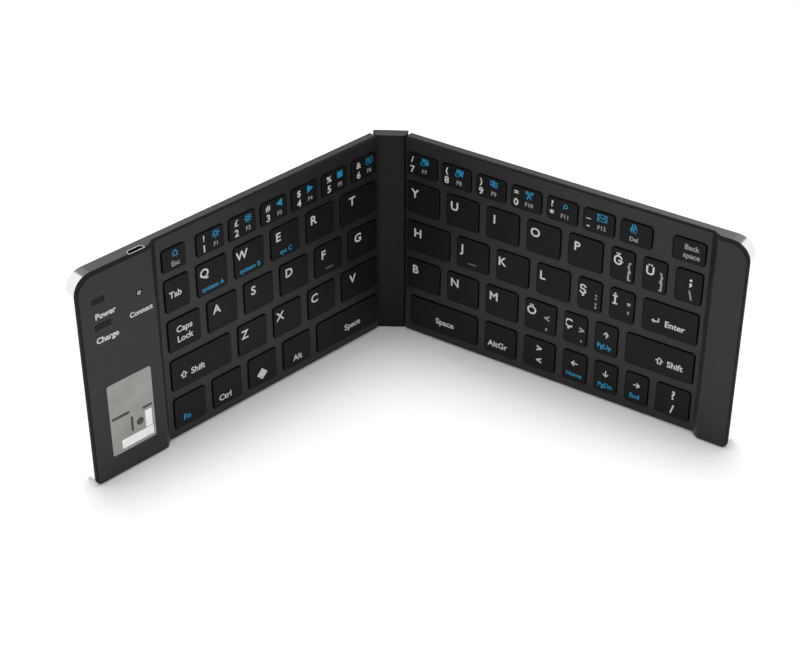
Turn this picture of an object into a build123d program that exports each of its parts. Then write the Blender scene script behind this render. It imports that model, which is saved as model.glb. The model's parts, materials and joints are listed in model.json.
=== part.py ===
from build123d import *
from math import cos, radians, sin
import os

# A two-part folding keyboard, standing upright on its long edge, half folded. Each half
# turns on its own pin, and a narrow spine carries both pins. +Z is up, +X runs along the
# spine's face, and the keys look towards -Y. The origin lies on the ground, midway
# between the two hinge axes. All sizes are in millimetres.

# Fold of each half from the flat, open keyboard, in degrees
LEFT_FOLD = 47.0
RIGHT_FOLD = 30.0

# A half: outline, thickness and the raised outer end that keeps the folded keys apart
HEIGHT = 95.0
HALF_LENGTH = 154.0
LEFT_STEP = 115.8
RIGHT_STEP = 137.6
RAMP_LENGTH = 3.4
RAMP_ROUND = 2.0
RAISED = 3.05
FRAME_THICKNESS = 1.1
RAISED_FRAME_THICKNESS = 2.0
RAISED_SKIN = 1.2
BACK_DEPTH = 4.65
WALL = 0.8
FLOOR_THICKNESS = 1.0
REAR_CORNER = 8.0
FRONT_CORNER = 2.5
BACK_ROUND = 0.5
RIM_CHAMFER = 0.7

# Hinge: two parallel upright axes, set back from the keys' plane and from the halves
AXIS_SPACING = 10.6
AXIS_DEPTH = 2.15
AXIS_TO_EDGE = 2.45
PIN_RADIUS = 0.7
PIN_FIT = 0.02
RUNNING_CLEARANCE = 0.05
KNUCKLE_RADIUS = 1.5
KNUCKLE_LENGTH = 30.0
KNUCKLE_COUNT = 2
KNUCKLE_GAP = 0.2
LEAF_THICKNESS = 0.8
LEAF_WIDTH = 4.5
LIP_THICKNESS = 0.6

# Spine: a channel with two inner walls, a narrow face cover and two end caps
SPINE_BACK = 2.5
SPINE_PLATE = 0.8
SPINE_HALF_WIDTH = 7.3
SPINE_FACE_HALF_WIDTH = 5.6
SPINE_FACE_THICKNESS = 0.45
SPINE_WALL_CENTRE = 3.0
SPINE_WALL_THICKNESS = 0.8
BOTTOM_CAP = 3.1
TOP_CAP = 0.8
TOP_PLUG = 2.0
BACK_CORNER = 0.6
CABLE_BOTTOM = 20.0
CABLE_WIDTH = 12.0
CABLE_THICKNESS = 0.16
CABLE_REACH = 3.5
CABLE_OFFSET = 0.9

# Keys: cells of a row are counted from the spine outwards, a nameless cell is a gap
KEY_PITCH = 19.0
NUMBER_PITCH = 16.3
ROW_PITCH = 18.7
BOTTOM_ROW = 11.6
NUMBER_ROW = 83.6
RIB = 3.2
NUMBER_RIB = 2.0
KEY_OPENING_HEIGHT = 15.3
NUMBER_OPENING_HEIGHT = 10.7
HINGE_MARGIN = 0.75
OPENING_CORNER = 1.2
KEY_GAP = 0.4
KEY_CORNER = 0.8
KEY_BEVEL = 0.25
KEY_TOP = 0.7
KEY_THICKNESS = 1.6
HOMING_BAR = (4.0, 0.6, 0.25)
LEFT_HOMING = (28.65, 44.8)
RIGHT_HOMING = (33.45, 44.8)
LEFT_ROWS = [
    [("left_space_key", 38.15), ("alt_key", KEY_PITCH), ("start_key", KEY_PITCH),
     ("control_key", KEY_PITCH), ("function_key", 19.8)],
    [("left_lower_letter_keys", 23.55)] + 3 * [("left_lower_letter_keys", KEY_PITCH)]
    + [("left_shift_key", 34.4)],
    [("left_home_letter_keys", 19.15)] + 4 * [("left_home_letter_keys", KEY_PITCH)]
    + [("caps_lock_key", 19.8)],
    [("left_upper_letter_keys", 23.15)] + 4 * [("left_upper_letter_keys", KEY_PITCH)]
    + [("tab_key", 15.8)],
    [("left_number_keys", 16.15)] + 5 * [("left_number_keys", NUMBER_PITCH)]
    + [("", 2.75), ("escape_key", 13.95)],
]
RIGHT_ROWS = [
    [("", 1.0), ("right_space_key", 37.4), ("alt_gr_key", KEY_PITCH),
     ("angle_bracket_key", 18.6), ("arrow_left_key", 14.8), ("arrow_down_key", 14.2),
     ("arrow_right_key", 14.0), ("question_key", 18.65)],
    [("right_lower_letter_keys", 19.4)] + 2 * [("right_lower_letter_keys", KEY_PITCH)]
    + [("right_lower_accent_keys", 18.2), ("right_lower_accent_keys", 14.3),
       ("full_stop_key", 13.9), ("right_shift_key", 33.85)],
    [("right_home_letter_keys", 23.95)] + 3 * [("right_home_letter_keys", KEY_PITCH)]
    + [("right_home_accent_keys", 14.4), ("right_home_accent_keys", 14.6),
       ("enter_key", 27.7)],
    [("right_upper_letter_keys", 18.55)] + 4 * [("right_upper_letter_keys", KEY_PITCH)]
    + 2 * [("right_upper_accent_keys", 14.0)] + [("comma_key", 15.1)],
    [("right_number_keys", 16.65)] + 5 * [("right_number_keys", NUMBER_PITCH)]
    + [("extra_symbol_key", NUMBER_PITCH), ("", 6.15), ("backspace_key", 16.45)],
]

# Under the keys: a steel plate, and on it a rubber sheet with one dome per key
PLATE_THICKNESS = 0.4
PLATE_MARGIN = 1.2
PLATE_GAP = 0.2
SHEET_THICKNESS = 0.3
DOME_RADIUS = 3.0
DOME_SLOPE = (1.3, 1.9)
DOME_SIDES = 6

# Inside and on the raised left end
BOARD_CENTRE = (132.4, 77.8)
BOARD_SIZE = (27.2, 31.6)
BOARD_LEVEL = -1.85
BOARD_THICKNESS = 0.8
RAIL_INSET = 2.5
RADIO_MODULE = (12.0, 8.0, 1.6)
RADIO_CENTRE = (133.0, 67.0)
LED_SIZE = (1.6, 0.8)
LED_HEIGHT = 0.6
BATTERY = (29.0, 46.0, 4.0)
BATTERY_CENTRE = (135.5, 31.0)
PORT_CENTRE = 124.5
PORT_WIDTH = 7.5
PORT_THICKNESS = 2.6
PORT_CHAMFER = 1.0
PORT_LENGTH = 5.6
PORT_SHELL = 0.3
PORT_BACK = 1.0
PORT_TONGUE = (3.8, 0.6)
PORT_MARGIN = 0.1
LENSES = [((145.0, 83.0), (5.8, 2.6)), ((144.0, 71.6), (7.4, 2.6)), ((126.5, 78.0), (3.0, 2.5))]
LENS_GAP = 0.1
LABEL_CENTRE = (135.0, 26.8)
LABEL_SIZE = (21.0, 33.5)
LABEL_THICKNESS = 0.2
LABEL_CORNER = 0.6

# Both raised ends hold magnets; both backs have rubber feet
MAGNET_SIZE = (5.0, 9.0)
MAGNET_THICKNESS = 1.4
MAGNET_PLACES = [(149.0, 20.0), (149.0, 60.0)]
FOOT_SIZE = (12.0, 5.0)
FOOT_CORNER = 1.5
FOOT_THICKNESS = 0.5
FOOT_PLACES = [(15.0, 12.0), (15.0, 83.0), (138.0, 12.0), (138.0, 83.0)]

# Levels, measured out of the key side from the keys' plane
SEAM = -FRAME_THICKNESS
RAISED_SEAM = RAISED - RAISED_FRAME_THICKNESS
CEILING = RAISED - RAISED_SKIN
FLOOR = FLOOR_THICKNESS - BACK_DEPTH
LEAF_TOP = FLOOR + LEAF_THICKNESS
PLATE_TOP = FLOOR + PLATE_THICKNESS
SHEET_TOP = PLATE_TOP + SHEET_THICKNESS
KEY_UNDERSIDE = KEY_TOP - KEY_THICKNESS
BOARD_TOP = BOARD_LEVEL + BOARD_THICKNESS
PORT_LEVEL = BOARD_TOP + PORT_THICKNESS / 2

# The spine's depth and height
FACE_Y = -AXIS_DEPTH
CHANNEL_FRONT = FACE_Y + SPINE_FACE_THICKNESS
CHANNEL_BACK = SPINE_BACK - SPINE_PLATE
SPINE_TOP = HEIGHT - TOP_CAP
CORNER_ALIGN = (Align.MIN, Align.MIN)


class Half:
    """One folding half and the planes on which its pieces are drawn.

    On a face plane x runs from the hinge edge to the outer end, and y upwards. On a
    section plane x runs the same way, and y out of the key side.
    """

    def __init__(self, name, side, fold, step, rows, homing):
        self.name = name
        self.side = side
        self.step = step
        self.ramp_end = step + RAMP_LENGTH
        self.rows = rows
        self.homing = homing
        angle = radians(fold)
        self.along = Vector(side * cos(angle), -sin(angle), 0)
        self.out = Vector(-side * sin(angle), -cos(angle), 0)
        self.axis = Vector(side * AXIS_SPACING / 2, 0, 0)
        self.edge = self.axis + self.along * AXIS_TO_EDGE + self.out * AXIS_DEPTH
        self.out_axis = Axis(self.edge, self.out)

    def face(self, level):
        origin = self.edge + self.out * level
        return Plane(origin=origin, x_dir=self.along, z_dir=self.out * self.side)

    def section(self, height):
        origin = self.edge + Vector(0, 0, height)
        return Plane(origin=origin, x_dir=self.along, z_dir=(0, 0, -self.side))

    def outward(self, distance):
        """An extrusion's amount from a face plane, out of the key side."""
        return self.side * distance

    def upward(self, distance):
        """An extrusion's amount from a section plane, upwards."""
        return -self.side * distance

    def rim(self, faces):
        """The edges of these faces that lie on the outline, but for the hinge side."""
        found = ShapeList()
        for edge in faces.edges():
            place = self.face(0).to_local_coords(edge @ 0.5)
            at_side = min(place.Y, HEIGHT - place.Y) < 0.01
            if at_side or place.X > HALF_LENGTH - REAR_CORNER:
                found.append(edge)
        return found


def key_openings(half):
    """Every key opening of a half, as its key's name, its centre and its size."""
    found = []
    for number, row in enumerate(half.rows):
        is_number_row = number == len(half.rows) - 1
        rib = NUMBER_RIB if is_number_row else RIB
        tall = NUMBER_OPENING_HEIGHT if is_number_row else KEY_OPENING_HEIGHT
        height = NUMBER_ROW if is_number_row else BOTTOM_ROW + number * ROW_PITCH
        edge = 0.0
        for name, width in row:
            start = edge + rib / 2 if edge else HINGE_MARGIN
            edge += width
            end = edge - rib / 2
            if name:
                found.append((name, ((start + end) / 2, height), (end - start, tall)))
    return found


def knuckle_spans():
    """The lengths and lowest points of the spine's knuckles, then of a leaf's."""
    room = SPINE_TOP - BOTTOM_CAP
    cell = KNUCKLE_LENGTH + 2 * KNUCKLE_GAP
    spine_length = (room - KNUCKLE_COUNT * cell) / (KNUCKLE_COUNT + 1)
    starts = [BOTTOM_CAP + i * (spine_length + cell) for i in range(KNUCKLE_COUNT + 1)]
    leaf_starts = [start + spine_length + KNUCKLE_GAP for start in starts[:-1]]
    return (spine_length, starts), (KNUCKLE_LENGTH, leaf_starts)


def half_outline(inset=0.0, start=0.0):
    """Sketch a half's outline, square at the hinge side and rounded at the outer end."""
    end = HALF_LENGTH - inset
    with Locations((start, inset)):
        Rectangle(end - start, HEIGHT - 2 * inset, align=CORNER_ALIGN)
    for corner, radius in ((0, FRONT_CORNER), (-1, REAR_CORNER)):
        outer = vertices().group_by(Axis.X)[-1].sort_by(Axis.Y)
        fillet(outer[corner], radius - inset)


def port_outline(margin=0.0):
    """Sketch the charging port's outline, with its two board-side corners cut off."""
    with Locations((PORT_CENTRE, PORT_LEVEL)):
        Rectangle(PORT_WIDTH, PORT_THICKNESS)
    chamfer(vertices().group_by(Axis.Y)[0], PORT_CHAMFER)
    if margin:
        offset(amount=margin, kind=Kind.INTERSECTION, mode=Mode.REPLACE)


def save(part, name):
    part.label = name
    export_step(part, f"parts/{name}.step")


def key_frame(half):
    """The black face: thin round the keys, then ramped up to the thicker outer end."""
    with BuildPart() as frame:
        with BuildSketch(half.section(0)):
            with BuildLine():
                FilletPolyline(
                    (0, 0), (half.step, 0), (half.ramp_end, RAISED), (HALF_LENGTH, RAISED),
                    radius=RAMP_ROUND,
                )
                Polyline(
                    (HALF_LENGTH, RAISED), (HALF_LENGTH, RAISED_SEAM),
                    (half.ramp_end, RAISED_SEAM), (half.step, SEAM), (0, SEAM), (0, 0),
                )
            make_face()
        extrude(amount=half.upward(HEIGHT))
        with BuildSketch(half.face(SEAM)):
            half_outline()
        extrude(amount=half.outward(RAISED - SEAM), mode=Mode.INTERSECT)
        key_side = faces().filter_by(lambda face: face.normal_at().dot(half.out) > 0.1)
        chamfer(half.rim(key_side), RIM_CHAMFER)

        # A lip closes the hinge side, down to the hinge leaf
        with BuildSketch(half.face(SEAM)):
            with Locations((0, WALL)):
                Rectangle(LIP_THICKNESS, HEIGHT - 2 * WALL, align=CORNER_ALIGN)
        extrude(amount=half.outward(LEAF_TOP - SEAM))

        # The raised end is hollow underneath
        with BuildSketch(half.face(RAISED_SEAM)):
            half_outline(inset=2 * WALL, start=half.ramp_end + WALL)
        extrude(amount=half.outward(CEILING - RAISED_SEAM), mode=Mode.SUBTRACT)

        with BuildSketch(half.face(SEAM)):
            for _, centre, size in key_openings(half):
                with Locations(centre):
                    Rectangle(*size)
            chamfer(vertices(), OPENING_CORNER)
        extrude(amount=half.outward(FRAME_THICKNESS), mode=Mode.SUBTRACT)
        if half.name == "left":
            # Windows for the indicator lenses
            with BuildSketch(half.face(CEILING)):
                for centre, size in LENSES:
                    with Locations(centre):
                        Rectangle(*size)
            extrude(amount=half.outward(RAISED_SKIN), mode=Mode.SUBTRACT)
            # A shallow seat, so that the label plate lies flush
            with BuildSketch(half.face(RAISED)):
                with Locations(LABEL_CENTRE):
                    Rectangle(*LABEL_SIZE)
                chamfer(vertices(), LABEL_CORNER)
            extrude(amount=-half.outward(LABEL_THICKNESS), mode=Mode.SUBTRACT)
            # A notch over the charging port
            with BuildSketch(half.section(HEIGHT - PORT_LENGTH)):
                port_outline(PORT_MARGIN)
            extrude(amount=half.upward(PORT_LENGTH), mode=Mode.SUBTRACT)
    return frame.part


def back_cover(half):
    """The light tray: thin walls, a rounded back, and open towards the hinge."""
    with BuildPart() as cover:
        with BuildSketch(half.section(0)):
            with BuildLine():
                Polyline(
                    (0, -BACK_DEPTH), (HALF_LENGTH, -BACK_DEPTH), (HALF_LENGTH, RAISED_SEAM),
                    (half.ramp_end, RAISED_SEAM), (half.step, SEAM), (0, SEAM), close=True,
                )
            make_face()
        extrude(amount=half.upward(HEIGHT))
        with BuildSketch(half.face(-BACK_DEPTH)):
            half_outline()
        extrude(amount=half.outward(BACK_DEPTH + RAISED), mode=Mode.INTERSECT)
        back = faces().group_by(half.out_axis)[0]
        fillet(half.rim(back), BACK_ROUND)
        with BuildSketch(half.face(FLOOR)):
            half_outline(inset=WALL, start=-WALL)
        extrude(amount=half.outward(RAISED - FLOOR), mode=Mode.SUBTRACT)
        if half.name == "left":
            # Two rails carry the main board
            with BuildSketch(half.face(FLOOR)):
                with Locations(BOARD_CENTRE):
                    with GridLocations(BOARD_SIZE[0] - 2 * RAIL_INSET, 0, 2, 1):
                        Rectangle(WALL, BOARD_SIZE[1])
            extrude(amount=half.outward(BOARD_LEVEL - FLOOR))
            # The charging port looks out of the upper wall
            with BuildSketch(half.section(HEIGHT - PORT_LENGTH)):
                port_outline(PORT_MARGIN)
            extrude(amount=half.upward(PORT_LENGTH), mode=Mode.SUBTRACT)
    return cover.part


def hinge_leaf(half, length, starts):
    """A steel strip along the hinge edge with knuckles rolled round the pin."""
    with BuildPart() as leaf:
        with BuildSketch(half.face(FLOOR)):
            with Locations((0, WALL + RUNNING_CLEARANCE)):
                strip = HEIGHT - 2 * (WALL + RUNNING_CLEARANCE)
                Rectangle(LEAF_WIDTH, strip, align=CORNER_ALIGN)
        extrude(amount=half.outward(LEAF_THICKNESS))
        for start in starts:
            with BuildSketch(half.section(start)):
                with Locations((-AXIS_TO_EDGE, FLOOR)):
                    Rectangle(AXIS_TO_EDGE, LEAF_THICKNESS, align=CORNER_ALIGN)
                with Locations((-AXIS_TO_EDGE, -AXIS_DEPTH)):
                    Circle(KNUCKLE_RADIUS)
                    Circle(PIN_RADIUS + RUNNING_CLEARANCE, mode=Mode.SUBTRACT)
            extrude(amount=half.upward(length))
    return leaf.part


def plate_outline(half):
    """Sketch the area under a half's keys."""
    start = LEAF_WIDTH + PLATE_GAP
    with Locations((start, PLATE_MARGIN)):
        width = half.step - PLATE_GAP - start
        Rectangle(width, HEIGHT - 2 * PLATE_MARGIN, align=CORNER_ALIGN)


def support_plate(half):
    with BuildPart() as plate:
        with BuildSketch(half.face(FLOOR)):
            plate_outline(half)
        extrude(amount=half.outward(PLATE_THICKNESS))
    return plate.part


def dome_sheet(half):
    """A rubber sheet whose domes hold the keys up."""
    with BuildPart() as sheet:
        with BuildSketch(half.face(SHEET_TOP)):
            for _, centre, _ in key_openings(half):
                with Locations(centre):
                    RegularPolygon(DOME_RADIUS, DOME_SIDES)
        extrude(amount=half.outward(KEY_UNDERSIDE - SHEET_TOP))
        for top in faces().group_by(half.out_axis)[-1]:
            chamfer(top.edges(), *DOME_SLOPE, reference=top)
        with BuildSketch(half.face(PLATE_TOP)):
            plate_outline(half)
        extrude(amount=half.outward(SHEET_THICKNESS))
    return sheet.part


def key_caps(half):
    """A bevelled cap in every opening. The keys of one name are made together."""
    openings = key_openings(half)
    for key_name in dict.fromkeys(name for name, _, _ in openings):
        with BuildPart() as caps:
            with BuildSketch(half.face(KEY_UNDERSIDE)):
                for name, centre, (width, height) in openings:
                    if name == key_name:
                        with Locations(centre):
                            Rectangle(width - 2 * KEY_GAP, height - 2 * KEY_GAP)
                chamfer(vertices(), KEY_CORNER)
            extrude(amount=half.outward(KEY_THICKNESS))
            chamfer(faces().group_by(half.out_axis)[-1].edges(), KEY_BEVEL)
            if "home_letter" in key_name:
                # A small bar marks the key on which the first finger rests
                with BuildSketch(half.face(KEY_TOP)):
                    with Locations(half.homing):
                        Rectangle(HOMING_BAR[0], HOMING_BAR[1])
                extrude(amount=half.outward(HOMING_BAR[2]))
        save(caps.part, key_name)


def magnets(half):
    with BuildPart() as pair:
        with BuildSketch(half.face(CEILING)):
            with Locations(*MAGNET_PLACES):
                Rectangle(*MAGNET_SIZE)
        extrude(amount=-half.outward(MAGNET_THICKNESS))
    return pair.part


def feet(half):
    with BuildPart() as pads:
        with BuildSketch(half.face(-BACK_DEPTH)):
            with Locations(*FOOT_PLACES):
                Rectangle(*FOOT_SIZE)
            chamfer(vertices(), FOOT_CORNER)
        extrude(amount=-half.outward(FOOT_THICKNESS))
    return pads.part


def hinge_pin(half):
    with BuildPart() as pin:
        with BuildSketch(Plane.XY.offset(BOTTOM_CAP)):
            with Locations((half.axis.X, half.axis.Y)):
                Circle(PIN_RADIUS)
        extrude(amount=SPINE_TOP - BOTTOM_CAP)
    return pin.part


def cap_outline():
    """Sketch the spine's end: as wide as its face in front, and as its channel behind."""
    Polygon(
        (-SPINE_FACE_HALF_WIDTH, FACE_Y), (SPINE_FACE_HALF_WIDTH, FACE_Y),
        (SPINE_HALF_WIDTH, 0), (SPINE_HALF_WIDTH, SPINE_BACK),
        (-SPINE_HALF_WIDTH, SPINE_BACK), (-SPINE_HALF_WIDTH, 0),
        align=None,
    )
    fillet(vertices().group_by(Axis.Y)[-1], BACK_CORNER)


os.makedirs("parts", exist_ok=True)
spine_knuckles, leaf_knuckles = knuckle_spans()
left = Half("left", -1, LEFT_FOLD, LEFT_STEP, LEFT_ROWS, LEFT_HOMING)
right = Half("right", 1, RIGHT_FOLD, RIGHT_STEP, RIGHT_ROWS, RIGHT_HOMING)

for half in (left, right):
    save(back_cover(half), f"{half.name}_back_cover")
    save(key_frame(half), f"{half.name}_key_frame")
    save(hinge_leaf(half, *leaf_knuckles), f"{half.name}_hinge_leaf")
    save(hinge_pin(half), f"{half.name}_hinge_pin")
    save(support_plate(half), f"{half.name}_support_plate")
    save(dome_sheet(half), f"{half.name}_dome_sheet")
    save(magnets(half), f"{half.name}_magnets")
    save(feet(half), f"{half.name}_feet")
    key_caps(half)

# The spine's channel, with a knuckle for each pin between the leaves' knuckles
with BuildPart() as spine_channel:
    with BuildSketch(Plane.XY.offset(BOTTOM_CAP)):
        with Locations((0, SPINE_BACK - SPINE_PLATE / 2)):
            Rectangle(2 * SPINE_HALF_WIDTH, SPINE_PLATE)
        fillet(vertices().group_by(Axis.Y)[-1], BACK_CORNER)
        with Locations((0, (CHANNEL_FRONT + CHANNEL_BACK) / 2)):
            with GridLocations(2 * SPINE_WALL_CENTRE, 0, 2, 1):
                Rectangle(SPINE_WALL_THICKNESS, CHANNEL_BACK - CHANNEL_FRONT)
    extrude(amount=SPINE_TOP - BOTTOM_CAP)
    knuckle_length, knuckle_starts = spine_knuckles
    for start in knuckle_starts:
        with BuildSketch(Plane.XY.offset(start)):
            with GridLocations(SPINE_WALL_CENTRE + AXIS_SPACING / 2, 0, 2, 1):
                Rectangle(AXIS_SPACING / 2 - SPINE_WALL_CENTRE, 2 * KNUCKLE_RADIUS)
            with GridLocations(AXIS_SPACING, 0, 2, 1):
                Circle(KNUCKLE_RADIUS)
                Circle(PIN_RADIUS + PIN_FIT, mode=Mode.SUBTRACT)
        extrude(amount=knuckle_length)
    # A slot in both walls for the ribbon cable
    with BuildSketch(Plane.XY.offset(CABLE_BOTTOM - PLATE_GAP)):
        slot_width = 2 * (SPINE_WALL_CENTRE + SPINE_WALL_THICKNESS)
        Rectangle(slot_width, 2 * (CABLE_OFFSET + PLATE_GAP))
    extrude(amount=CABLE_WIDTH + 2 * PLATE_GAP, mode=Mode.SUBTRACT)
save(spine_channel.part, "spine_channel")

with BuildPart() as spine_face_cover:
    with BuildSketch(Plane.XY.offset(BOTTOM_CAP)):
        with Locations((0, FACE_Y + SPINE_FACE_THICKNESS / 2)):
            Rectangle(2 * SPINE_FACE_HALF_WIDTH, SPINE_FACE_THICKNESS)
    extrude(amount=SPINE_TOP - BOTTOM_CAP)
save(spine_face_cover.part, "spine_face_cover")

with BuildPart() as spine_bottom_cap:
    with BuildSketch():
        cap_outline()
    extrude(amount=BOTTOM_CAP)
save(spine_bottom_cap.part, "spine_bottom_cap")

with BuildPart() as spine_top_cap:
    with BuildSketch(Plane.XY.offset(SPINE_TOP)):
        cap_outline()
    extrude(amount=TOP_CAP)
    with BuildSketch(Plane.XY.offset(SPINE_TOP)):
        with Locations((0, (CHANNEL_FRONT + CHANNEL_BACK) / 2)):
            plug_width = 2 * SPINE_WALL_CENTRE - SPINE_WALL_THICKNESS - 2 * RUNNING_CLEARANCE
            Rectangle(plug_width, CHANNEL_BACK - CHANNEL_FRONT - 2 * RUNNING_CLEARANCE)
    extrude(amount=-TOP_PLUG)
save(spine_top_cap.part, "spine_top_cap")

# The ribbon cable's stretch inside the spine
with BuildPart() as ribbon_cable:
    with BuildSketch(Plane.XY.offset(CABLE_BOTTOM)):
        with BuildLine():
            FilletPolyline(
                (-CABLE_REACH, CABLE_OFFSET), (-CABLE_REACH / 2, CABLE_OFFSET),
                (CABLE_REACH / 2, -CABLE_OFFSET), (CABLE_REACH, -CABLE_OFFSET),
                radius=1.0,
            )
        trace(line_width=CABLE_THICKNESS)
    extrude(amount=CABLE_WIDTH)
save(ribbon_cable.part, "ribbon_cable")

with BuildPart() as main_board:
    with BuildSketch(left.face(BOARD_LEVEL)):
        with Locations(BOARD_CENTRE):
            Rectangle(*BOARD_SIZE)
    extrude(amount=left.outward(BOARD_THICKNESS))
    with BuildSketch(left.face(BOARD_TOP)):
        for centre, _ in LENSES:
            with Locations(centre):
                Rectangle(*LED_SIZE)
    extrude(amount=left.outward(LED_HEIGHT))
save(main_board.part, "main_board")

with BuildPart() as radio_module:
    with BuildSketch(left.face(BOARD_TOP)):
        with Locations(RADIO_CENTRE):
            Rectangle(RADIO_MODULE[0], RADIO_MODULE[1])
    extrude(amount=left.outward(RADIO_MODULE[2]))
save(radio_module.part, "radio_module")

with BuildPart() as battery:
    with BuildSketch(left.face(FLOOR)):
        with Locations(BATTERY_CENTRE):
            Rectangle(BATTERY[0], BATTERY[1])
    extrude(amount=left.outward(BATTERY[2]))
save(battery.part, "battery")

# The charging port: a pressed steel shell with a tongue inside
with BuildPart() as charging_port:
    with BuildSketch(left.section(HEIGHT - PORT_LENGTH)):
        port_outline()
    extrude(amount=left.upward(PORT_LENGTH))
    with BuildSketch(left.section(HEIGHT)):
        port_outline(-PORT_SHELL)
    extrude(amount=-left.upward(PORT_LENGTH - PORT_BACK), mode=Mode.SUBTRACT)
    with BuildSketch(left.section(HEIGHT - PORT_LENGTH + PORT_BACK)):
        with Locations((PORT_CENTRE, PORT_LEVEL)):
            Rectangle(*PORT_TONGUE)
    extrude(amount=left.upward(PORT_LENGTH - 2 * PORT_BACK))
save(charging_port.part, "charging_port")

with BuildPart() as indicator_lenses:
    with BuildSketch(left.face(BOARD_TOP + LED_HEIGHT)):
        for centre, (width, height) in LENSES:
            with Locations(centre):
                Rectangle(width - 2 * LENS_GAP, height - 2 * LENS_GAP)
    extrude(amount=left.outward(RAISED - BOARD_TOP - LED_HEIGHT))
save(indicator_lenses.part, "indicator_lenses")

with BuildPart() as label_plate:
    with BuildSketch(left.face(RAISED - LABEL_THICKNESS)):
        with Locations(LABEL_CENTRE):
            Rectangle(*LABEL_SIZE)
        chamfer(vertices(), LABEL_CORNER)
    extrude(amount=left.outward(LABEL_THICKNESS))
save(label_plate.part, "label_plate")
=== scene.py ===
import bpy
import bmesh
import json
from math import radians
from mathutils import Matrix, Vector


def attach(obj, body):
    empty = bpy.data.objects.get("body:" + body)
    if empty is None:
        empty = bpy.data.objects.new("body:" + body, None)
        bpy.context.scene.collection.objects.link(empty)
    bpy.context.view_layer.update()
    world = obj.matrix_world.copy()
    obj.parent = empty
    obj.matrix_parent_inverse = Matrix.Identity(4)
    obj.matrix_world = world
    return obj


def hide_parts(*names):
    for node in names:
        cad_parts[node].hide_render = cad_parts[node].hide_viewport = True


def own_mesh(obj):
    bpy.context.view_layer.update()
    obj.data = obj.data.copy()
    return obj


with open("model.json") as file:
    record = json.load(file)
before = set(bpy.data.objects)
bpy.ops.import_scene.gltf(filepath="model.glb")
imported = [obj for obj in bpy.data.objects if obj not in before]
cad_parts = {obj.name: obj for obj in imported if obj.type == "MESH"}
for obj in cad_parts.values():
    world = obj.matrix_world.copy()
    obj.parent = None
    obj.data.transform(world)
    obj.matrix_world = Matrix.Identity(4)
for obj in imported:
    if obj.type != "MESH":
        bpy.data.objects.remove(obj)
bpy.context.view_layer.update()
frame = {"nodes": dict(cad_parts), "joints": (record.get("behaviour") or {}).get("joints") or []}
MM = 0.001


# The view: a long lens, above the keyboard's front and a little to its right, looking
# down at the spine. Its place and turn were fitted to the photograph's straight edges.
EYE = Vector((0.0358, -0.6773, 0.4631))
GAZE = Vector((-0.0389, 0.8249, -0.5640))
FOCAL_LENGTH = 84.04
SENSOR_WIDTH = 36.0

camera_data = bpy.data.cameras.new("camera")
camera_data.lens = FOCAL_LENGTH
camera_data.sensor_width = SENSOR_WIDTH
camera = bpy.data.objects.new("camera", camera_data)
camera.location = EYE
camera.rotation_euler = GAZE.to_track_quat("-Z", "Y").to_euler()
bpy.context.scene.collection.objects.link(camera)
bpy.context.scene.camera = camera
bpy.context.scene.view_settings.view_transform = "Standard"


# The studio floor: a wide white sheet, which keeps a soft shadow round the keyboard and
# runs out to plain white further off.
FLOOR_SIZE = 6.0
FLOOR_TONE = 0.915
WHITE_FROM = 0.16
WHITE_AT = 0.42


def seen_directly(nodes):
    """1 for what is looked at, straight, in a gloss or through glass, and 0 for light."""
    path = nodes.new("ShaderNodeLightPath")
    value = path.outputs["Is Camera Ray"]
    for kind in ("Is Glossy Ray", "Is Transmission Ray"):
        either = nodes.new("ShaderNodeMath")
        either.operation = "MAXIMUM"
        nodes.id_data.links.new(value, either.inputs[0])
        nodes.id_data.links.new(path.outputs[kind], either.inputs[1])
        value = either.outputs[0]
    return value


def floor_material():
    """Matt white, with a glow in place of its shading further off, where it is looked at."""
    material = bpy.data.materials.new("studio_floor")
    material.use_nodes = True
    nodes, links = material.node_tree.nodes, material.node_tree.links
    nodes.clear()
    matt = nodes.new("ShaderNodeBsdfDiffuse")
    matt.inputs["Color"].default_value = (FLOOR_TONE, FLOOR_TONE, FLOOR_TONE, 1)
    glow = nodes.new("ShaderNodeEmission")
    place = nodes.new("ShaderNodeTexCoord")
    distance = nodes.new("ShaderNodeVectorMath")
    distance.operation = "LENGTH"
    links.new(place.outputs["Object"], distance.inputs[0])
    far = nodes.new("ShaderNodeMapRange")
    far.interpolation_type = "SMOOTHSTEP"
    far.inputs["From Min"].default_value = WHITE_FROM
    far.inputs["From Max"].default_value = WHITE_AT
    links.new(distance.outputs["Value"], far.inputs["Value"])
    seen = nodes.new("ShaderNodeMath")
    seen.operation = "MULTIPLY"
    links.new(seen_directly(nodes), seen.inputs[0])
    links.new(far.outputs[0], seen.inputs[1])
    mixed = nodes.new("ShaderNodeMixShader")
    output = nodes.new("ShaderNodeOutputMaterial")
    links.new(seen.outputs[0], mixed.inputs[0])
    links.new(matt.outputs[0], mixed.inputs[1])
    links.new(glow.outputs[0], mixed.inputs[2])
    links.new(mixed.outputs[0], output.inputs["Surface"])
    return material


sheet = bmesh.new()
bmesh.ops.create_grid(sheet, x_segments=1, y_segments=1, size=FLOOR_SIZE / 2)
floor_mesh = bpy.data.meshes.new("studio_floor")
sheet.to_mesh(floor_mesh)
sheet.free()
studio_floor = bpy.data.objects.new("studio_floor", floor_mesh)
bpy.context.scene.collection.objects.link(studio_floor)
floor_mesh.materials.append(floor_material())


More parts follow.
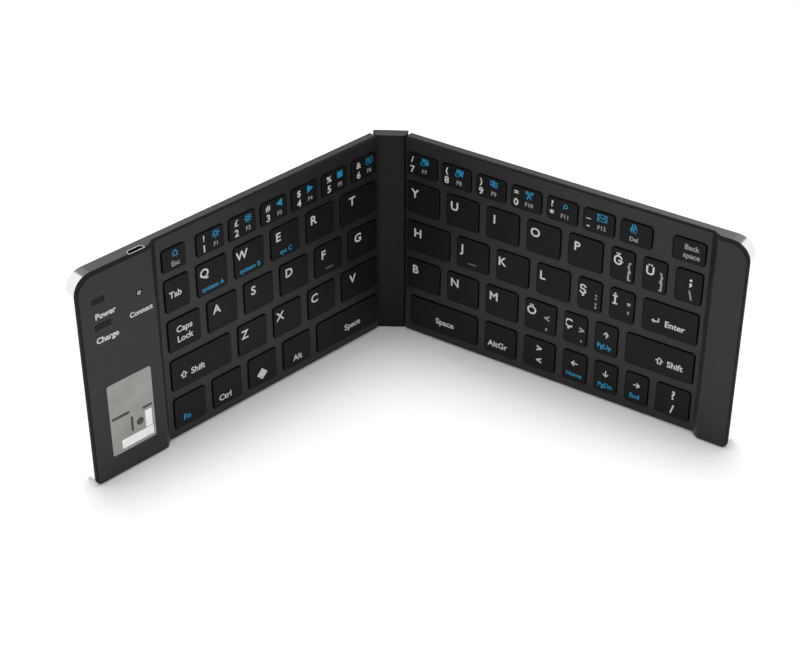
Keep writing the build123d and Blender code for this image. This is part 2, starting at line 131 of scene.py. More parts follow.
# The light: a soft panel overhead, a little behind, and a weak one at each side, in a white
# room. Gloss doesn't show the panels. It shows a dark card, high up behind the keyboard,
# which keeps the bright upper edge dark in the view.
PANELS = [
    # Name, place, aim, width and power.
    ("top_panel", (-0.07, 0.32, 1.6), (0, -0.05, 0.0), 0.9, 18.8),
    ("left_panel", (-1.4, -0.5, 0.7), (0, 0, 0.05), 1.0, 1.5),
    ("right_panel", (1.5, -0.5, 0.8), (0, 0, 0.05), 1.0, 1.5),
]
ROOM_LIGHT = 0.74
CARD_TOWARDS = Vector((-0.05, 0.83, 0.555)).normalized()
# The cosine of the angle from the card's middle, and the card's tone there.
CARD_MIDDLE = (0.998, 0.06)
CARD_RIM = (0.972, 0.24)
# The cosines at which the card ends and the white room begins.
CARD_END = 0.80
ROOM_FROM = 0.75

for name, place, target, size, power in PANELS:
    panel_data = bpy.data.lights.new(name, "AREA")
    panel_data.shape = "SQUARE"
    panel_data.size = size
    panel_data.energy = power
    panel = bpy.data.objects.new(name, panel_data)
    panel.location = place
    panel.rotation_euler = (Vector(target) - Vector(place)).to_track_quat("-Z", "Y").to_euler()
    panel.visible_glossy = False
    bpy.context.scene.collection.objects.link(panel)

room = bpy.data.worlds.new("room")
bpy.context.scene.world = room
room.use_nodes = True
room_nodes, room_links = room.node_tree.nodes, room.node_tree.links
heading = room_nodes.new("ShaderNodeTexCoord")
near_card = room_nodes.new("ShaderNodeVectorMath")
near_card.operation = "DOT_PRODUCT"
near_card.inputs[1].default_value = CARD_TOWARDS
room_links.new(heading.outputs["Generated"], near_card.inputs[0])
card_tone = room_nodes.new("ShaderNodeMapRange")
card_tone.inputs["From Min"].default_value = CARD_RIM[0]
card_tone.inputs["From Max"].default_value = CARD_MIDDLE[0]
card_tone.inputs["To Min"].default_value = CARD_RIM[1]
card_tone.inputs["To Max"].default_value = CARD_MIDDLE[1]
room_links.new(near_card.outputs["Value"], card_tone.inputs["Value"])
past_card = room_nodes.new("ShaderNodeMapRange")
past_card.inputs["From Min"].default_value = CARD_END
past_card.inputs["From Max"].default_value = ROOM_FROM
room_links.new(near_card.outputs["Value"], past_card.inputs["Value"])
card = room_nodes.new("ShaderNodeMath")
card.operation = "MAXIMUM"
room_links.new(card_tone.outputs[0], card.inputs[0])
room_links.new(past_card.outputs[0], card.inputs[1])
room_tone = room_nodes.new("ShaderNodeMapRange")
room_tone.inputs["To Min"].default_value = ROOM_LIGHT
room_links.new(seen_directly(room_nodes), room_tone.inputs["Value"])
room_links.new(card.outputs[0], room_tone.inputs["To Max"])
looked_at = room_nodes.new("ShaderNodeLightPath")
white_behind = room_nodes.new("ShaderNodeMath")
white_behind.operation = "MAXIMUM"
room_links.new(room_tone.outputs[0], white_behind.inputs[0])
room_links.new(looked_at.outputs["Is Camera Ray"], white_behind.inputs[1])
room_links.new(white_behind.outputs[0], room_nodes["Background"].inputs["Strength"])
room_nodes["Background"].inputs["Color"].default_value = (1, 1, 1, 1)


# The two halves' own frames: x to the right along the keys, y upwards and z out of the
# key side, from the edge at the hinge. The fold axes and the keys' press give them.
AXIS_TO_EDGE = 2.45 * MM
AXIS_DEPTH = 2.15 * MM


def half_frame(fold, press, side):
    """The frame of one half, from its fold's axis and the way one of its keys goes down."""
    joints = {joint["name"]: joint for joint in frame["joints"]}
    out = -Vector(joints[press]["axis"]).normalized()
    up = Vector((0, 0, 1))
    across = up.cross(out)
    edge = Vector(joints[fold]["pos_m"]) + across * side * AXIS_TO_EDGE + out * AXIS_DEPTH
    turn = Matrix((across, up, out)).transposed().to_4x4()
    return Matrix.Translation(edge) @ turn


LEFT = half_frame("left_fold", "tab_press", -1)
RIGHT = half_frame("right_fold", "enter_press", 1)


# Back covers: thin pressed aluminium trays, blasted and anodised silver on the back. Their sides
# and edges are a brighter, glossier copy of that silver: painted light, which makes the ends read
# white. They form the keyboard's back, its upper strip and its rounded corners.
# The silver of the covers' sides and edges, brighter than the back's: painted light.
LIT_SIDE_SILVER = (0.87, 0.87, 0.88)
NOISE_MIDDLE = (0.3, 0.7)
CLOUD_SIZE = 12
# The cosines between which a surface turns from a side into a face: the edge of the mask for the
# painted light and shade on the sides.
SIDE_FROM = 0.715
FACE_FROM = 0.742


def noise(nodes, links, scale, roughness=0.55, stretch=(1, 1, 1)):
    """Noise on object coordinates, its scale in ripples per metre."""
    place = nodes.new("ShaderNodeTexCoord")
    mapping = nodes.new("ShaderNodeMapping")
    mapping.inputs["Scale"].default_value = stretch
    texture = nodes.new("ShaderNodeTexNoise")
    texture.inputs["Scale"].default_value = scale
    texture.inputs["Detail"].default_value = 3.0
    texture.inputs["Roughness"].default_value = roughness
    links.new(place.outputs["Object"], mapping.inputs["Vector"])
    links.new(mapping.outputs[0], texture.inputs["Vector"])
    return texture.outputs["Fac"]


def spread(nodes, links, value, low, high):
    """The middle of a noise, spread over a range."""
    scale = nodes.new("ShaderNodeMapRange")
    scale.inputs["From Min"].default_value = NOISE_MIDDLE[0]
    scale.inputs["From Max"].default_value = NOISE_MIDDLE[1]
    scale.inputs["To Min"].default_value = low
    scale.inputs["To Max"].default_value = high
    links.new(value, scale.inputs["Value"])
    return scale.outputs[0]


def finish(name, dark, light, roughness, grain, depth, metal=0.0, shine=0.5, edge=0.0,
           stretch=(1, 1, 1)):
    """A surface clouded between two tones, with uneven gloss. Its fine bump has so many
    ripples per metre, of this depth, and its edges may be slightly rounded."""
    material = bpy.data.materials.new(name)
    material.use_nodes = True
    nodes, links = material.node_tree.nodes, material.node_tree.links
    shader = nodes["Principled BSDF"]
    shader.inputs["Metallic"].default_value = metal
    shader.inputs["Specular IOR Level"].default_value = shine
    tone = nodes.new("ShaderNodeMix")
    tone.data_type = "RGBA"
    tone.inputs["A"].default_value = (*dark, 1)
    tone.inputs["B"].default_value = (*light, 1)
    cloudy = noise(nodes, links, grain / CLOUD_SIZE)
    links.new(spread(nodes, links, cloudy, 0, 1), tone.inputs["Factor"])
    links.new(tone.outputs["Result"], shader.inputs["Base Color"])
    fine = noise(nodes, links, grain, roughness=0.6, stretch=stretch)
    links.new(spread(nodes, links, fine, *roughness), shader.inputs["Roughness"])
    bump = nodes.new("ShaderNodeBump")
    bump.inputs["Strength"].default_value = 1.0
    bump.inputs["Distance"].default_value = depth
    links.new(fine, bump.inputs["Height"])
    if edge:
        rounding = nodes.new("ShaderNodeBevel")
        rounding.samples = 6
        rounding.inputs["Radius"].default_value = edge
        links.new(rounding.outputs[0], bump.inputs["Normal"])
    links.new(bump.outputs[0], shader.inputs["Normal"])
    return material


def dress(material, *names):
    """Give carried-over CAD nodes their finish."""
    for name in names:
        mesh = frame["nodes"][name].data
        mesh.materials.clear()
        mesh.materials.append(material)


def paint_sides_by_facing(material, facing, colour, roughness, shine=0.5, metal=0.0):
    """Keep a finish on the faces that look this way, and give the others a second one, with the
    same grain: a copy in another tone, which paints light and shade onto the sides."""
    nodes, links = material.node_tree.nodes, material.node_tree.links
    place = nodes.new("ShaderNodeTexCoord")
    turn = nodes.new("ShaderNodeVectorMath")
    turn.operation = "DOT_PRODUCT"
    turn.inputs[1].default_value = facing
    links.new(place.outputs["Normal"], turn.inputs[0])
    on_face = nodes.new("ShaderNodeMapRange")
    on_face.inputs["From Min"].default_value = SIDE_FROM
    on_face.inputs["From Max"].default_value = FACE_FROM
    links.new(turn.outputs["Value"], on_face.inputs["Value"])
    side = nodes.new("ShaderNodeBsdfPrincipled")
    side.inputs["Base Color"].default_value = (*colour, 1)
    side.inputs["Roughness"].default_value = roughness
    side.inputs["Specular IOR Level"].default_value = shine
    side.inputs["Metallic"].default_value = metal
    links.new(nodes["Bump"].outputs[0], side.inputs["Normal"])
    both = nodes.new("ShaderNodeMixShader")
    links.new(on_face.outputs[0], both.inputs[0])
    links.new(side.outputs[0], both.inputs[1])
    links.new(nodes["Principled BSDF"].outputs[0], both.inputs[2])
    links.new(both.outputs[0], nodes["Material Output"].inputs["Surface"])
    return material


for side, half in (("left", LEFT), ("right", RIGHT)):
    back = -(half.to_3x3() @ Vector((0, 0, 1)))
    satin_back = finish(side + "_satin_back", dark=(0.54, 0.54, 0.55), light=(0.60, 0.60, 0.61),
                        roughness=(0.30, 0.38), grain=5000, depth=0.0015 * MM, metal=1.0)
    # Every face that doesn't look backwards is painted brighter: painted light on the sides.
    dress(paint_sides_by_facing(satin_back, back, LIT_SIDE_SILVER, roughness=0.17, metal=1.0),
          side + "_back_cover")


# Key frames: one moulding a half, in dark grey plastic with a fine eroded texture. It
# holds the keys, steps up to the thicker outer end, and clips into the cover. Its sides and
# chamfers are painted a duller, darker black: painted shade, a dark rim along its edges.
# A duller, darker black for faces turned aside: painted shade on the frames' rims, the upper
# spine cap's sides and inside the port.
PAINTED_SHADE_BLACK = (0.0095, 0.0095, 0.0098)

for side, half in (("left", LEFT), ("right", RIGHT)):
    frame_plastic = finish(side + "_frame_plastic", dark=(0.0105, 0.0105, 0.011),
                           light=(0.0135, 0.0135, 0.014), roughness=(0.34, 0.44), grain=4500,
                           depth=0.005 * MM, shine=0.3, edge=0.12 * MM)
    out = half.to_3x3() @ Vector((0, 0, 1))
    # Sides and chamfers painted a duller black: painted shade.
    dress(paint_sides_by_facing(frame_plastic, out, PAINTED_SHADE_BLACK, roughness=0.6, shine=0.12),
          side + "_key_frame")


# Spine: a stiff black channel between the halves, closed by a flat face cover and an end
# cap below and above, the upper one with a silver top and its other faces painted dull black:
# painted shade along the recess beneath that top. Its knuckles hold the hinge pins.
spine_plastic = finish("spine_plastic", dark=(0.0075, 0.0075, 0.008),
                       light=(0.0095, 0.0095, 0.010), roughness=(0.42, 0.54), grain=4000,
                       depth=0.005 * MM, shine=0.12, edge=0.12 * MM)
dress(spine_plastic, "spine_channel", "spine_face_cover", "spine_bottom_cap")
silver_top = finish("silver_top", dark=(0.80, 0.80, 0.81), light=(0.86, 0.86, 0.87),
                    roughness=(0.14, 0.20), grain=5000, depth=0.0005 * MM, metal=1.0)
# Silver only where the cap looks up; its other faces painted black: painted shade.
dress(paint_sides_by_facing(silver_top, (0, 0, 1), PAINTED_SHADE_BLACK, roughness=0.6, shine=0.12), "spine_top_cap")


# Hinge: blackened steel leaves, fixed in the halves' inner edges and rolled into knuckles,
# which turn between the spine's knuckles on plain steel pins.
hinge_steel = finish("hinge_steel", dark=(0.020, 0.020, 0.021), light=(0.034, 0.034, 0.035),
                     roughness=(0.40, 0.55), grain=2600, depth=0.006 * MM, metal=1.0,
                     stretch=(1, 1, 0.08))
dress(hinge_steel, "left_hinge_leaf", "right_hinge_leaf", "left_hinge_pin", "right_hinge_pin")


# Support plates: a plain steel sheet under the keys of each half, laid on the cover's
# floor. It carries the rubber sheet and stiffens the half.
plate_steel = finish("plate_steel", dark=(0.42, 0.42, 0.42), light=(0.50, 0.50, 0.50),
                     roughness=(0.35, 0.50), grain=1800, depth=0.004 * MM, metal=1.0,
                     stretch=(0.1, 0.1, 1))
dress(plate_steel, "left_support_plate", "right_support_plate")


# Feet: soft black rubber pads with round ends, glued to the backs. The keyboard lies on
# them when it is open.
foot_rubber = finish("foot_rubber", dark=(0.018, 0.018, 0.018), light=(0.028, 0.028, 0.028),
                     roughness=(0.70, 0.85), grain=3500, depth=0.015 * MM)
dress(foot_rubber, "left_feet", "right_feet")


# Inside the ends: nickel-plated magnets, the green main board with its radio module, a
# pouch battery in foil, and the ribbon cable that crosses the spine.
nickel = finish("nickel", dark=(0.55, 0.53, 0.50), light=(0.62, 0.60, 0.57),
                roughness=(0.18, 0.30), grain=1500, depth=0.003 * MM, metal=1.0)
dress(nickel, "left_magnets", "right_magnets")
board_green = finish("board_green", dark=(0.010, 0.085, 0.030), light=(0.016, 0.115, 0.042),
                     roughness=(0.30, 0.45), grain=2500, depth=0.010 * MM)
dress(board_green, "main_board")
tinned_can = finish("tinned_can", dark=(0.55, 0.55, 0.55), light=(0.64, 0.64, 0.64),
                    roughness=(0.25, 0.40), grain=2000, depth=0.004 * MM, metal=1.0)
dress(tinned_can, "radio_module")
battery_foil = finish("battery_foil", dark=(0.50, 0.50, 0.52), light=(0.60, 0.60, 0.62),
                      roughness=(0.30, 0.50), grain=900, depth=0.030 * MM, metal=0.8)
dress(battery_foil, "battery")
cable_film = finish("cable_film", dark=(0.42, 0.17, 0.03), light=(0.52, 0.22, 0.04),
                    roughness=(0.22, 0.34), grain=1500, depth=0.004 * MM)
dress(cable_film, "ribbon_cable")


# Charging port: a pressed and tinned steel shell, fixed in the cover's upper edge with its
# rim flush. Only its upward faces show the steel: its sides and inside are painted dull black,
# painted shade in its mouth.
port_steel = finish("port_steel", dark=(0.70, 0.70, 0.70), light=(0.80, 0.80, 0.80),
                    roughness=(0.28, 0.40), grain=2500, depth=0.003 * MM, metal=0.3)
# Steel on the upward faces, painted black on the rest: painted shade inside the port.
dress(paint_sides_by_facing(port_steel, (0, 0, 1), PAINTED_SHADE_BLACK, roughness=0.6, shine=0.12), "charging_port")


# Keycaps: moulded in black plastic, slightly hollowed on top, with rounded corners and a
# soft edge, and a painted grey highlight on the two homing bars, where they catch the light.
# Each moves straight in on its dome.
WELD = 0.001 * MM
CORNER_RADIUS = 1.15 * MM
EDGE_RADIUS = 0.28 * MM
KEY_TOP = 0.7 * MM
# A cap's top is its one large face that looks straight out.
TOP_AREA = 30 * MM * MM
FACES_UP = 0.99
HOLLOW_RIM = 0.6 * MM
HOLLOW_DEPTH = 0.07 * MM
HOMING_BAR = (4.0 * MM, 0.6 * MM, 0.32 * MM)
HOMING_DROP = 4.2 * MM
SHARP_ANGLE = radians(35)
LEFT_KEYS = ["escape_key", "left_number_keys", "tab_key", "left_upper_letter_keys",
             "caps_lock_key", "left_home_letter_keys", "left_shift_key",
             "left_lower_letter_keys", "function_key", "control_key", "start_key", "alt_key",
             "left_space_key"]
RIGHT_KEYS = ["right_number_keys", "extra_symbol_key", "backspace_key",
              "right_upper_letter_keys", "right_upper_accent_keys", "comma_key",
              "right_home_letter_keys", "right_home_accent_keys", "enter_key",
              "right_lower_letter_keys", "right_lower_accent_keys", "full_stop_key",
              "right_shift_key", "right_space_key", "alt_gr_key", "angle_bracket_key",
              "arrow_left_key", "arrow_down_key", "arrow_right_key", "question_key"]


def caps_of(node, half):
    """The box of each cap in a CAD node, in its half's frame, from left to right."""
    caps = bmesh.new()
    caps.from_mesh(frame["nodes"][node].data)
    caps.transform(half.inverted())
    bmesh.ops.remove_doubles(caps, verts=caps.verts, dist=WELD)
    boxes, seen = [], set()
    for start in caps.verts:
        if start in seen:
            continue
        island, front = {start}, [start]
        while front:
            for edge in front.pop().link_edges:
                for vert in edge.verts:
                    if vert not in island:
                        island.add(vert)
                        front.append(vert)
        seen |= island
        low = Vector([min(vert.co[i] for vert in island) for i in range(3)])
        high = Vector([max(vert.co[i] for vert in island) for i in range(3)])
        boxes.append((low, high))
    caps.free()
    return sorted(boxes, key=lambda box: box[0].x)


def add_cap(keys, low, high):
    """One cap: a block with its upright corners rounded, its edge softened and its top
    hollowed a little."""
    size = Vector((high.x - low.x, high.y - low.y, KEY_TOP - low.z))
    middle = Vector(((low.x + high.x) / 2, (low.y + high.y) / 2, (low.z + KEY_TOP) / 2))
    place = Matrix.Translation(middle) @ Matrix.Diagonal((*size, 1))
    block = bmesh.ops.create_cube(keys, size=1.0, matrix=place)["verts"]
    edges = {edge for vert in block for edge in vert.link_edges}
    upright = [edge for edge in edges if abs(edge.verts[0].co.z - edge.verts[1].co.z) > MM / 2]
    rounded = bmesh.ops.bevel(keys, geom=upright, offset=CORNER_RADIUS, segments=6,
                              profile=0.5, affect="EDGES", material=-1)
    verts = {vert for face in rounded["faces"] for vert in face.verts}
    rim = {edge for vert in verts for edge in vert.link_edges
           if all(abs(end.co.z - KEY_TOP) < WELD for end in edge.verts)}
    bmesh.ops.bevel(keys, geom=list(rim), offset=EDGE_RADIUS, segments=3,
                    profile=0.5, affect="EDGES", material=-1)
    top = [face for face in keys.faces
           if face.normal.z > FACES_UP and face.calc_area() > TOP_AREA
           and abs(face.calc_center_median().x - middle.x) < MM
           and abs(face.calc_center_median().y - middle.y) < MM]
    bmesh.ops.inset_region(keys, faces=top, thickness=HOLLOW_RIM, depth=-HOLLOW_DEPTH)
    for edge in top[0].edges:
        edge.smooth = False
    if high.z > KEY_TOP + HOLLOW_DEPTH:
        ridge = Vector((middle.x, middle.y - HOMING_DROP, KEY_TOP))
        place = Matrix.Translation(ridge) @ Matrix.Diagonal((*HOMING_BAR, 1))
        bar = bmesh.ops.create_cube(keys, size=1.0, matrix=place)["verts"]
        for face in {face for vert in bar for face in vert.link_faces}:
            face.material_index = 1
        bmesh.ops.bevel(keys, geom=list({edge for vert in bar for edge in vert.link_edges}),
                        offset=HOMING_BAR[2] / 3, segments=3, profile=0.5,
                        affect="EDGES", material=-1)


key_plastic = finish("key_plastic", dark=(0.0040, 0.0040, 0.0042),
                     light=(0.0052, 0.0052, 0.0054), roughness=(0.40, 0.52), grain=5200,
                     depth=0.005 * MM, shine=0.13)


def place_piece(name, shape, half, body, materials, replaced=()):
    """Turn a shape drawn in a half's frame into a piece that rides on a body."""
    shape.transform(half)
    for face in shape.faces:
        face.smooth = True
    for edge in shape.edges:
        if edge.calc_face_angle(0) > SHARP_ANGLE:
            edge.smooth = False
    mesh = bpy.data.meshes.new(name)
    shape.to_mesh(mesh)
    shape.free()
    for material in materials:
        mesh.materials.append(material)
    piece = bpy.data.objects.new(name, mesh)
    bpy.context.scene.collection.objects.link(piece)
    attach(piece, body)
    if replaced:
        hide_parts(*replaced)
    return piece


def ink(name, colour):
    """A dull, hard print of one colour, a tenth darker in places."""
    return finish(name, dark=tuple(0.9 * part for part in colour), light=colour,
                  roughness=(0.40, 0.55), grain=6000, depth=0.002 * MM, shine=0.3)


# The homing bars' grey: a painted highlight of the light they catch.
painted_bar_highlight = ink("painted_bar_highlight", (0.12, 0.12, 0.12))

for keys, half in ((LEFT_KEYS, LEFT), (RIGHT_KEYS, RIGHT)):
    for node in keys:
        caps = bmesh.new()
        for low, high in caps_of(node, half):
            add_cap(caps, low, high)
        piece = place_piece(node + "_caps", caps, half, node, [key_plastic, painted_bar_highlight], [node])


# Rubber sheets: moulded in grey silicone, one to a half, laid on the steel plate. A dome
# under each key holds it up. In the keyboard it collapses when the key is pressed; here the
# domes are fixed to the half and keep their shape.
SHEET_TOP = -2.95 * MM
ROUND_SIDES = 24
DOME_FOOT = 2.9 * MM
DOME_CROWN = 1.5 * MM
DOME_EDGE = 0.3 * MM
DOME_CLEARANCE = 0.04 * MM

dome_rubber = finish("dome_rubber", dark=(0.13, 0.13, 0.13), light=(0.16, 0.16, 0.155),
                     roughness=(0.55, 0.70), grain=3000, depth=0.006 * MM)


def add_dome(domes, low, high):
    """The dome under one cap, from the sheet up to just below the cap."""
    height = low.z - DOME_CLEARANCE - SHEET_TOP
    middle = Vector(((low.x + high.x) / 2, (low.y + high.y) / 2, SHEET_TOP + height / 2))
    dome = bmesh.ops.create_cone(domes, cap_ends=True, segments=ROUND_SIDES,
                                 radius1=DOME_FOOT, radius2=DOME_CROWN, depth=height,
                                 matrix=Matrix.Translation(middle))["verts"]
    crown = [edge for edge in {edge for vert in dome for edge in vert.link_edges}
             if all(vert.co.z > middle.z for vert in edge.verts)]
    bmesh.ops.bevel(domes, geom=crown, offset=DOME_EDGE, segments=3, profile=0.5,
                    affect="EDGES", material=-1)


for side, keys, half in (("left", LEFT_KEYS, LEFT), ("right", RIGHT_KEYS, RIGHT)):
    sheet = bmesh.new()
    sheet.from_mesh(frame["nodes"][side + "_dome_sheet"].data)
    sheet.transform(half.inverted())
    for vert in sheet.verts:
        vert.co.z = min(vert.co.z, SHEET_TOP)
    bmesh.ops.remove_doubles(sheet, verts=sheet.verts, dist=WELD)
    bmesh.ops.dissolve_degenerate(sheet, edges=sheet.edges, dist=WELD)
    piece = place_piece(side + "_rubber_sheet", sheet, half, side + "_half", [dome_rubber],
                        [side + "_dome_sheet"])
    for node in keys:
        domes = bmesh.new()
        for low, high in caps_of(node, half):
            add_dome(domes, low, high)
        piece = place_piece(node + "_domes", domes, half, side + "_half", [dome_rubber])
        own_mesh(piece)


# Key prints: letters, signs and small pictures, printed on the hollow tops in white, grey
# and blue ink. Each is set down as its text, its place in millimetres across and up from
# the cap's middle, the height of its capitals and its ink.
INK_THICKNESS = 0.012 * MM
CAPITAL_AT_SIZE_ONE = 0.682
# How much wider a stroke is drawn, as a share of the capitals' height.
BOLDER = 0.034
STROKES = dict.fromkeys("{}[]<>.,:;\"'", 0.065)
INKS = ["white", "grey", "blue"]
LETTER = 3.8
DIGIT = 3.0
WORD = 2.7
SIGN = 2.6
STACKED_WORD = 2.2
SMALL_WORD = 2.1
BLUE_WORD = 2.0
FUNCTION = 1.8

white_ink = ink("white_ink", (0.59, 0.59, 0.59))
grey_ink = ink("grey_ink", (0.30, 0.30, 0.30))
blue_ink = ink("blue_ink", (0.008, 0.24, 0.45))


def letters(row, across, up):
    """A large letter towards the upper left of each cap."""
    return [[(letter, across, up, LETTER, "white")] for letter in row]


def number_keys(digits, signs, pictures, first, across, aside):
    """A sign over a digit, and beside them a blue picture over a grey function name."""
    return [[(sign, across, 2.4, SIGN, "white"), (digit, across, -2.1, DIGIT, "white"),
             (picture, aside, 2.5, SIGN, "blue"),
             (f"F{first + i}", aside, -2.0, FUNCTION, "grey")]
            for i, (digit, sign, picture) in enumerate(zip(digits, signs, pictures))]


def with_signs(row, *signs):
    """Add a pair of small grey signs at the lower right of each cap."""
    for prints, pair in zip(row, signs):
        prints += [(sign, 3.0, up, DIGIT, "grey") for sign, up in zip(pair, (0.6, -3.4))]
    return row


PRINTS = {
    "escape_key": [[("⌂", 0.6, 2.4, SIGN, "blue"), ("Esc", 0.6, -2.1, SMALL_WORD, "grey")]],
    "left_number_keys": number_keys("123456", "!£#$%&", "🔅🔆◀▶■🔇", 1, -3.2, 2.7),
    "tab_key": [[("Tab", -1.0, 0.3, WORD, "white")]],
    "left_upper_letter_keys": letters("QWERT", -3.9, 3.0),
    "caps_lock_key": [[("Caps", 0, 2.2, WORD, "white"), ("Lock", 0, -2.4, WORD, "white")]],
    "left_home_letter_keys": letters("ASDFG", -3.0, 2.8),
    "left_shift_key": [[("⇧", -9.3, -1.2, WORD, "white"), ("Shift", -2.2, -1.3, WORD, "white")]],
    "left_lower_letter_keys": letters("ZXCV", -4.2, 2.7),
    "function_key": [[("Fn", -2.0, -3.0, WORD, "blue")]],
    "control_key": [[("Ctrl", -1.5, -3.2, WORD, "white")]],
    "start_key": [[("◆", -0.6, -2.3, LETTER, "white")]],
    "alt_key": [[("Alt", 0, -3.1, WORD, "white")]],
    "left_space_key": [[("Space", 2.5, -1.6, WORD, "white")]],
    "right_number_keys": number_keys("7890*-", "/()=?_", "🔉🔊⎘✂⌕✉", 7, -4.5, 1.4),
    "extra_symbol_key": [[("🔒", -1.1, 2.3, SIGN, "blue"), ("Del", -0.8, -2.4, FUNCTION, "grey")]],
    "backspace_key": [[("Back", 1.0, 1.8, STACKED_WORD, "grey"),
                       ("space", 1.2, -1.8, STACKED_WORD, "grey")]],
    "right_upper_letter_keys": letters("YUIOP", -3.8, 2.4),
    "right_upper_accent_keys": with_signs(letters("ĞÜ", -2.0, 2.0), "{[", "}]"),
    "comma_key": [[(";", 0.8, 3.0, LETTER, "white"), ("\\", 1.0, -3.4, LETTER, "grey")]],
    "right_home_letter_keys": letters("HJKL", -5.0, 2.2),
    "right_home_accent_keys": with_signs(letters("Şİ", -3.1, 2.0), ":;", "\"'"),
    "enter_key": [[("↵", -6.2, -1.5, WORD, "white"), ("Enter", 2.2, -1.5, WORD, "white")]],
    "right_lower_letter_keys": letters("BNM", -3.8, 2.6),
    "right_lower_accent_keys": with_signs(letters("Ö", -4.2, 2.4) + letters("Ç", -3.2, 2.4),
                                          "<,", ">."),
    "full_stop_key": [[("↑", 0, 2.2, WORD, "white"), ("PgUp", -0.6, -3.3, SMALL_WORD, "blue")]],
    "right_shift_key": [[("⇧", 0.2, -1.2, WORD, "white"), ("Shift", 7.0, -1.3, WORD, "white")]],
    "right_space_key": [[("Space", 0.7, -1.2, WORD, "white")]],
    "alt_gr_key": [[("AltGr", -1.2, -2.6, WORD, "white")]],
    "angle_bracket_key": [[(">", 0, 3.2, DIGIT, "white"), ("<", 0, -2.8, DIGIT, "white")]],
    "arrow_left_key": [[("←", 0, 2.0, WORD, "white"), ("Home", 0, -3.6, BLUE_WORD, "blue")]],
    "arrow_down_key": [[("↓", 0, 2.0, WORD, "white"), ("PgDn", 0, -3.6, SMALL_WORD, "blue")]],
    "arrow_right_key": [[("→", 0, 2.0, WORD, "white"), ("End", -0.6, -3.6, SMALL_WORD, "blue")]],
    "question_key": [[("?", 0, 3.4, LETTER, "white"), ("/", 0, -3.4, LETTER, "white")]],
}
for key, word in zip(PRINTS["left_upper_letter_keys"], ("system A", "system B", "sys C")):
    key.append((word, 0, -4.4, BLUE_WORD, "blue"))


def add_print(shape, text, middle, height, level, slot, bolder=BOLDER):
    """Set a word as a thin mesh, its capitals this high, on a surface at this level."""
    letters_curve = bpy.data.curves.new("print", "FONT")
    letters_curve.body = text
    letters_curve.size = height * MM / CAPITAL_AT_SIZE_ONE
    letters_curve.bevel_depth = bolder * height * MM
    letters_curve.bevel_resolution = 0
    letters_curve.resolution_u = 3
    letters_curve.align_x = "CENTER"
    letters_object = bpy.data.objects.new("print", letters_curve)
    flat = bpy.data.meshes.new_from_object(letters_object)
    low = Vector((middle[0], middle[1] - height * MM / 2, level + INK_THICKNESS / 2))
    thin = INK_THICKNESS / (2 * bolder * height * MM)
    flat.transform(Matrix.Translation(low) @ Matrix.Diagonal((1, 1, thin, 1)))
    for face in flat.polygons:
        face.material_index = slot
    shape.from_mesh(flat)
    bpy.data.meshes.remove(flat)
    bpy.data.objects.remove(letters_object)
    bpy.data.curves.remove(letters_curve)


for keys, half in ((LEFT_KEYS, LEFT), (RIGHT_KEYS, RIGHT)):
    for node in keys:
        printed = bmesh.new()
        for (low, high), prints in zip(caps_of(node, half), PRINTS[node], strict=True):
            for text, across, up, height, colour in prints:
                middle = ((low.x + high.x) / 2 + across * MM, (low.y + high.y) / 2 + up * MM)
                add_print(printed, text, middle, height, KEY_TOP - HOLLOW_DEPTH,
                          INKS.index(colour), STROKES.get(text, BOLDER))
        place_piece(node + "_print", printed, half, node, [white_ink, grey_ink, blue_ink])


# Indicator lenses: one small window for each lamp of the main board, in smoked clear
# plastic, pressed in flush with the frame's face.
lens_smoke = finish("lens_smoke", dark=(0.004, 0.004, 0.005), light=(0.006, 0.006, 0.007),
                    roughness=(0.12, 0.20), grain=800, depth=0.0005 * MM, shine=0.12)
dress(lens_smoke, "indicator_lenses")


# Captions: a word under each lens, printed in white on the raised end, and a grey dot on
# the third lens.
RAISED = 3.05 * MM
CAPTIONS = [("Power", (-142.4, 76.2), 2.4), ("Charge", (-142.4, 65.6), 2.4),
            ("Connect", (-126.3, 69.8), 2.1)]
CAPTION_BOLDER = 1.6 * BOLDER
LAMP = (-126.5, 78.0)
LAMP_RADIUS = 1.0


def add_dot(shape, middle, radius, slot):
    """A round spot of ink on the raised end's face."""
    place = Matrix.Translation((middle[0] * MM, middle[1] * MM, RAISED + INK_THICKNESS / 2))
    verts = bmesh.ops.create_cone(shape, cap_ends=True, segments=ROUND_SIDES,
                                  radius1=radius * MM, radius2=radius * MM,
                                  depth=INK_THICKNESS, matrix=place)["verts"]
    for face in {face for vert in verts for face in vert.link_faces}:
        face.material_index = slot


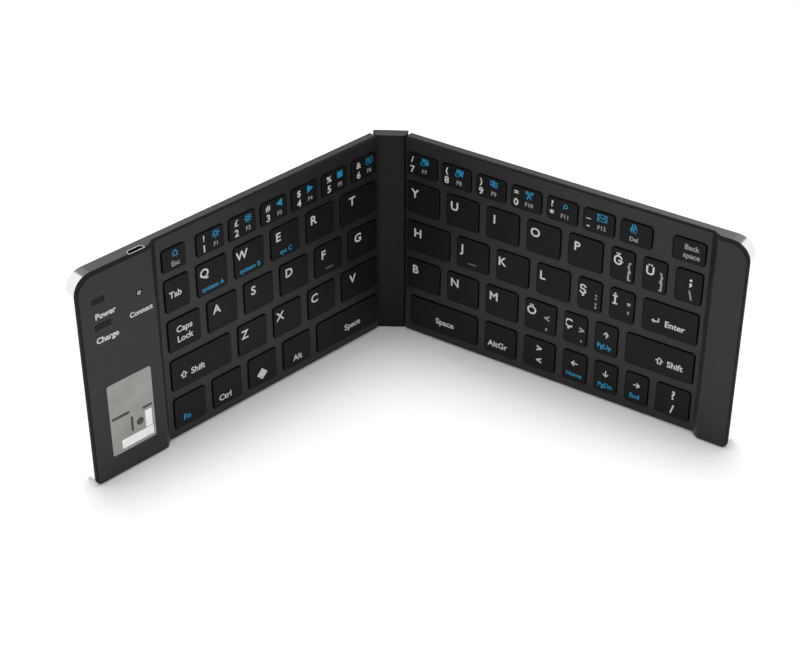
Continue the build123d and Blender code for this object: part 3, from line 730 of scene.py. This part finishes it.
captions = bmesh.new()
for text, (across, up), height in CAPTIONS:
    add_print(captions, text, (across * MM, up * MM), height, RAISED, 0, CAPTION_BOLDER)
add_dot(captions, LAMP, LAMP_RADIUS, 1)
place_piece("indicator_captions", captions, LEFT, "left_half", [white_ink, grey_ink])


# Label plate: a thin foil in dull silver, glued flush into the raised end. Its print is
# bare: dark rules, a dot and two bright fields.
LABEL_RULES = [((-140.4, 27.2), (8.4, 1.3)), ((-127.6, 25.8), (4.6, 1.1)),
               ((-135.4, 21.0), (1.2, 7.0))]
LABEL_FIELDS = [((-133.2, 13.6), (15.4, 4.2)), ((-127.4, 20.0), (3.2, 8.0))]
LABEL_DOT = ((-131.6, 20.4), 1.7)
FIELD_CORNER = 0.4 * MM

label_foil = finish("label_foil", dark=(0.27, 0.26, 0.25), light=(0.34, 0.33, 0.315),
                    roughness=(0.30, 0.50), grain=1200, depth=0.004 * MM, metal=0.3)
dress(label_foil, "label_plate")


def add_field(shape, middle, size, slot):
    """A printed field with slightly rounded corners, on the raised end's face."""
    place = Matrix.Translation((middle[0] * MM, middle[1] * MM, RAISED + INK_THICKNESS / 2))
    place @= Matrix.Diagonal((size[0] * MM, size[1] * MM, INK_THICKNESS, 1))
    corners = bmesh.ops.create_cube(shape, size=1.0, matrix=place)["verts"]
    for face in {face for vert in corners for face in vert.link_faces}:
        face.material_index = slot
    upright = [edge for edge in {edge for vert in corners for edge in vert.link_edges}
               if abs(edge.verts[0].co.z - edge.verts[1].co.z) > INK_THICKNESS / 2]
    bmesh.ops.bevel(shape, geom=upright, offset=FIELD_CORNER, segments=3, profile=0.5,
                    affect="EDGES", material=-1)


label_print = bmesh.new()
for middle, size in LABEL_RULES:
    add_field(label_print, middle, size, 0)
for middle, size in LABEL_FIELDS:
    add_field(label_print, middle, size, 1)
add_dot(label_print, *LABEL_DOT, 0)
dark_ink = ink("dark_ink", (0.05, 0.048, 0.045))
field_white = ink("field_white", (0.92, 0.92, 0.90))
place_piece("label_print", label_print, LEFT, "left_half", [dark_ink, field_white])
